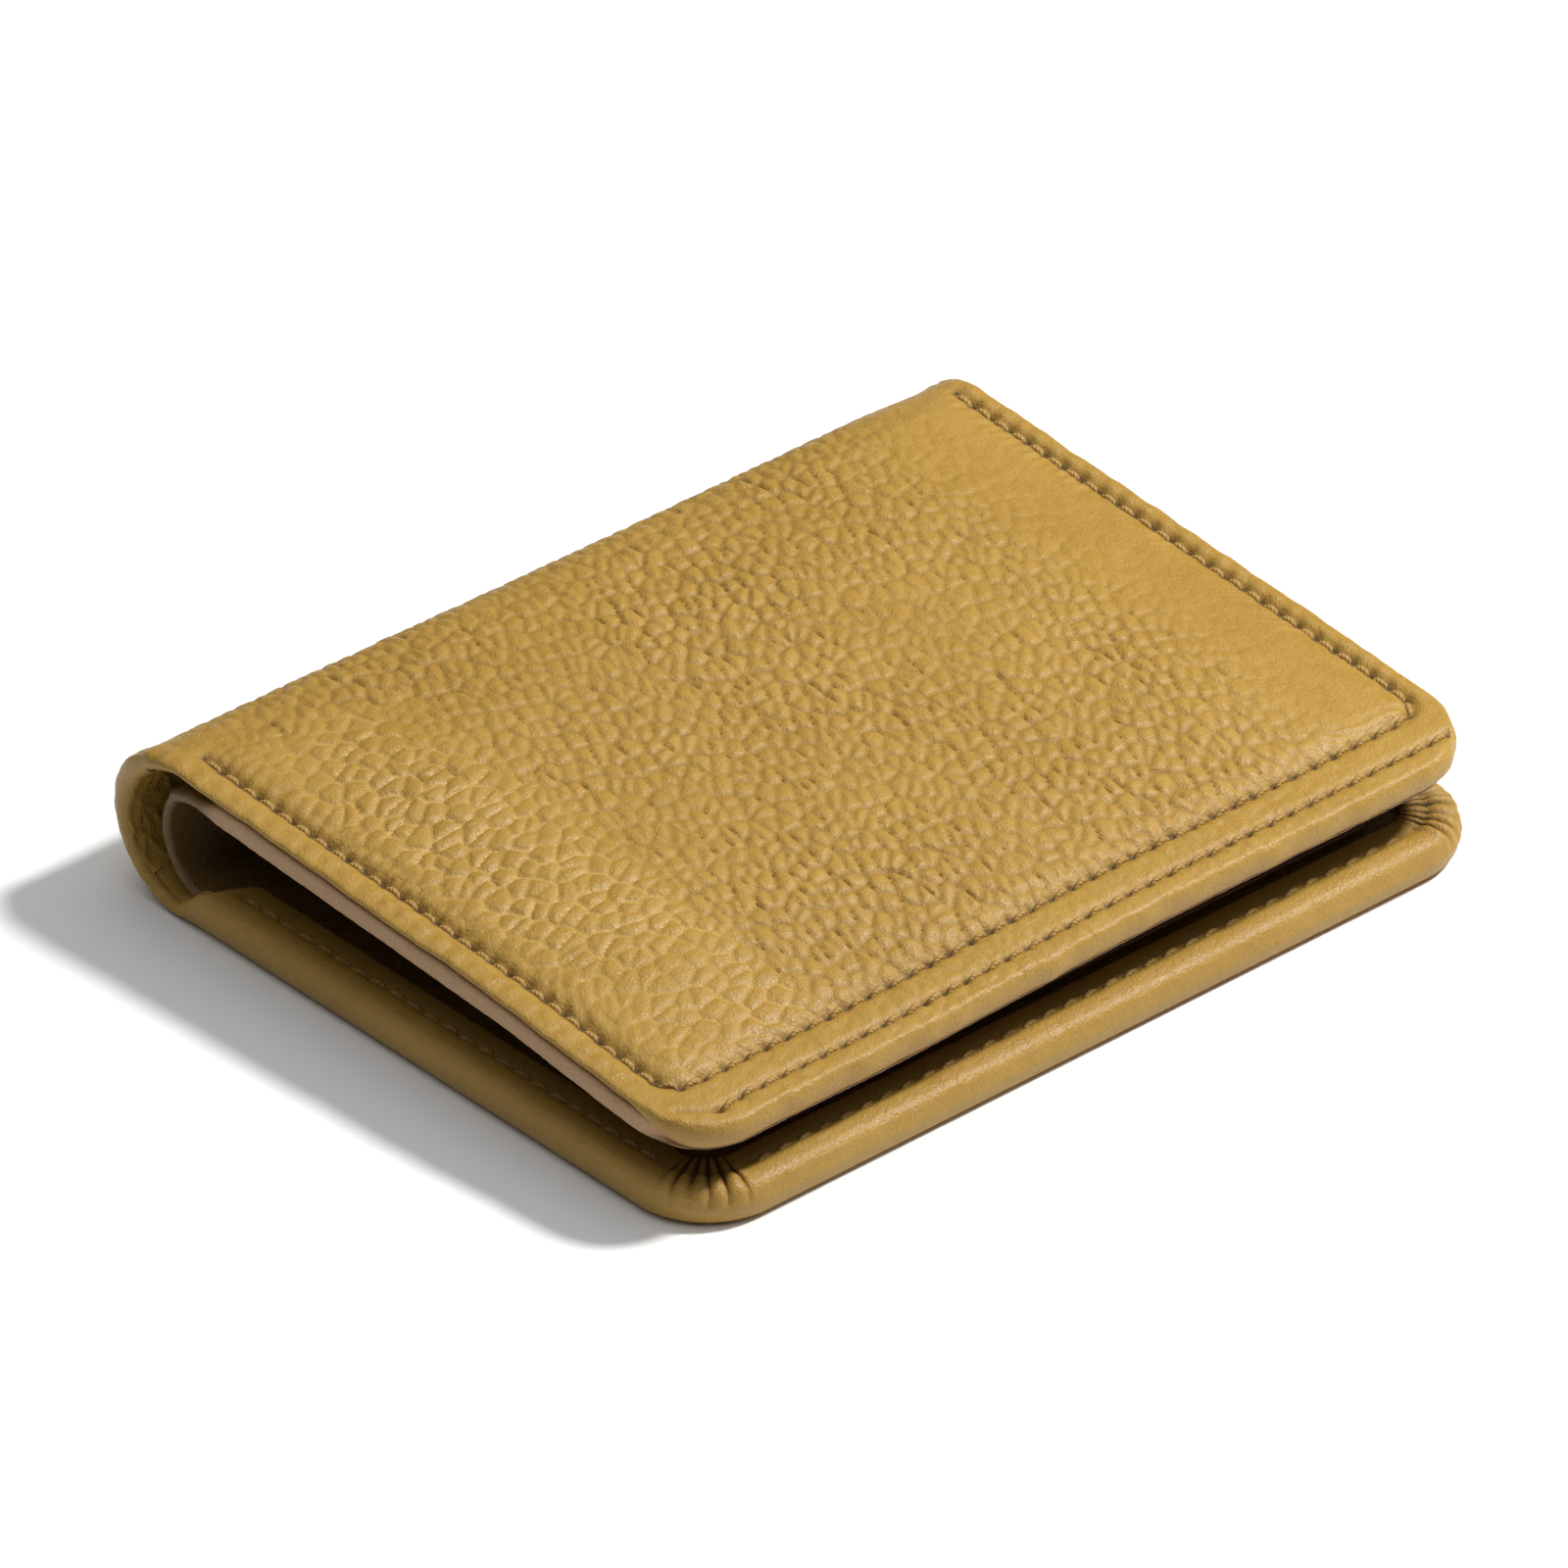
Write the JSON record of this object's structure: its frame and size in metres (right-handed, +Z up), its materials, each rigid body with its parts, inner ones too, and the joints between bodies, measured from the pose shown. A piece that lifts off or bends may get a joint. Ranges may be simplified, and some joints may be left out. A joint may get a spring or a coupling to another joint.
{
  "type": "bifold wallet",
  "caption": "Closed leather bifold wallet with a padded cover, turned and sewn edges, a soft folding spine and card pockets on both inner faces.",
  "frame": {"origin": "centre of the closed wallet's footprint, on the surface it lies on", "axes": "+X along the spine, -Y towards the free edge, +Y towards the spine, +Z up"},
  "size_m": [0.115, 0.094, 0.0196],
  "materials": {
    "mustard_leather": "pebbled grain, satin",
    "inner_leather": "fine grain with raw pinkish-tan edges",
    "mustard_thread": "twisted thread",
    "stiffener_board": "matt",
    "padding_foam": "matt"
  },
  "bodies": {
    "bottom_cover": {"bottom_shell": "mustard_leather", "bottom_turned_edge": "mustard_leather", "bottom_stiffener": "stiffener_board", "bottom_inner_panel": "inner_leather", "bottom_rear_card_pocket": "inner_leather", "bottom_front_card_pocket": "inner_leather", "bottom_edge_stitching": "mustard_thread", "bottom_pocket_stitching": "mustard_thread"},
    "spine_strip_1": {"spine_shell_1": "mustard_leather", "spine_liner_1": "inner_leather"},
    "spine_strip_2": {"spine_shell_2": "mustard_leather", "spine_liner_2": "inner_leather"},
    "spine_strip_3": {"spine_shell_3": "mustard_leather", "spine_liner_3": "inner_leather"},
    "spine_strip_4": {"spine_shell_4": "mustard_leather", "spine_liner_4": "inner_leather"},
    "top_cover": {"top_shell": "mustard_leather", "top_padding": "padding_foam", "top_inner_panel": "inner_leather", "top_rear_card_pocket": "inner_leather", "top_front_card_pocket": "inner_leather", "top_border_stitching": "mustard_thread", "top_free_edge_stitching": "mustard_thread", "top_pocket_stitching": "mustard_thread"}
  },
  "joints": [
    {"name": "fold_line_1", "type": "hinge", "parent": "bottom_cover", "child": "spine_strip_1", "pos_m": [0, 0.04018, 0.0012], "axis": [-1, 0, 0], "range_deg": [0, 36.65]},
    {"name": "fold_line_2", "type": "hinge", "parent": "spine_strip_1", "child": "spine_strip_2", "pos_m": [0, 0.04465, 0.00452], "axis": [-1, 0, 0], "range_deg": [0, 36.65]},
    {"name": "fold_line_3", "type": "hinge", "parent": "spine_strip_2", "child": "spine_strip_3", "pos_m": [0, 0.04625, 0.00985], "axis": [-1, 0, 0], "range_deg": [0, 36.65]},
    {"name": "fold_line_4", "type": "hinge", "parent": "spine_strip_3", "child": "spine_strip_4", "pos_m": [0, 0.04435, 0.01508], "axis": [-1, 0, 0], "range_deg": [0, 36.65]},
    {"name": "fold_line_5", "type": "hinge", "parent": "spine_strip_4", "child": "top_cover", "pos_m": [0, 0.0397, 0.01815], "axis": [-1, 0, 0], "range_deg": [0, 36.65]}
  ],
  "couplings": [
    {"joint": "fold_line_1", "follows": "fold_line_5", "ratio": 1},
    {"joint": "fold_line_2", "follows": "fold_line_5", "ratio": 1},
    {"joint": "fold_line_3", "follows": "fold_line_5", "ratio": 1},
    {"joint": "fold_line_4", "follows": "fold_line_5", "ratio": 1}
  ]
}
